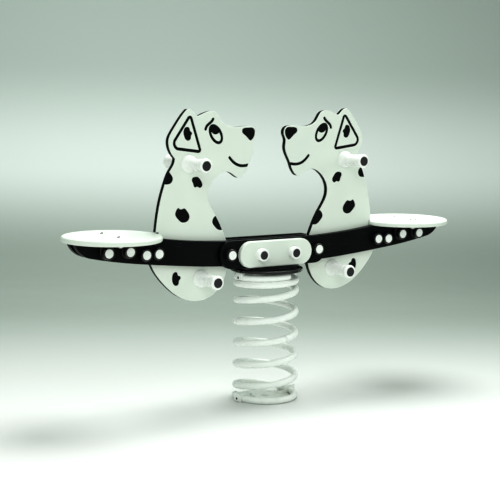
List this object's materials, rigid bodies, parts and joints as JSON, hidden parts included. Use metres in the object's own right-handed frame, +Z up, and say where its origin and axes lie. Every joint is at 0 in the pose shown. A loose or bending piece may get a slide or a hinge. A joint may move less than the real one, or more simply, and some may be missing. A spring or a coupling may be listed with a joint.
{
  "type": "spring seesaw",
  "caption": "Playground seesaw on a coil spring: a curved double beam with a round seat at each end and a facing dog panel with hand and foot grips in front of each seat.",
  "frame": {"origin": "centre of the base plate's underside, on the ground", "axes": "+Z up, +X along the beams to the right-hand seat, -Y the front with the bolt heads"},
  "size_m": [1.332, 0.286, 0.8793],
  "materials": {
    "white_panel": "satin white board",
    "black_panel": "glossy black board",
    "white_paint": "white powder coat",
    "black_paint": "black powder coat",
    "zinc_steel": "zinc plated",
    "bracket_steel": "galvanised",
    "white_plastic": "moulded",
    "black_plastic": "moulded"
  },
  "bodies": {
    "base": {"base_plate": "white_paint", "lower_coil_clamps": "white_paint", "lower_clamp_bolts": "zinc_steel", "lower_clamp_screws": "black_paint"},
    "spring": {"coil_spring": "white_paint"},
    "seesaw": {"upper_coil_clamps": "white_paint", "upper_clamp_bolts": "zinc_steel", "upper_clamp_screws": "black_paint", "top_disc": "black_paint", "saddle_bracket": "black_paint", "saddle_bolts": "zinc_steel", "saddle_nuts": "zinc_steel", "front_beam": "black_panel", "rear_beam": "black_panel", "front_centre_plate": "black_panel", "rear_centre_plate": "black_panel", "front_face_plate": "white_panel", "rear_face_plate": "white_panel", "centre_cap_cups": "white_plastic", "centre_cap_plugs": "black_plastic", "centre_bolts": "zinc_steel", "centre_nuts": "zinc_steel", "beam_cap_cups": "black_plastic", "beam_cap_plugs": "white_plastic", "beam_bolts": "zinc_steel", "beam_nuts": "zinc_steel", "seat_end_sleeves": "black_plastic", "seat_bolts": "zinc_steel", "seat_nuts": "zinc_steel", "grip_rods": "zinc_steel", "grip_nuts": "zinc_steel", "grip_plugs": "black_plastic", "left_dog_core": "black_panel", "left_dog_front_skin": "white_panel", "left_dog_rear_skin": "white_panel", "left_handle_grips": "white_plastic", "left_foot_grips": "white_plastic", "left_seat": "white_panel", "left_seat_brackets": "bracket_steel", "right_dog_core": "black_panel", "right_dog_front_skin": "white_panel", "right_dog_rear_skin": "white_panel", "right_handle_grips": "white_plastic", "right_foot_grips": "white_plastic", "right_seat": "white_panel", "right_seat_brackets": "bracket_steel"}
  },
  "joints": [
    {"name": "rock", "type": "hinge", "parent": "base", "child": "spring", "pos_m": [0, 0, 0.195], "axis": [0, 1, 0], "range_deg": [-20, 20], "stiffness_Nm_per_rad": 450, "deforming": ["coil_spring"]},
    {"name": "sway", "type": "hinge", "parent": "spring", "child": "seesaw", "pos_m": [0, 0, 0.195], "axis": [1, 0, 0], "range_deg": [-8, 8], "stiffness_Nm_per_rad": 450, "deforming": ["coil_spring"]}
  ]
}
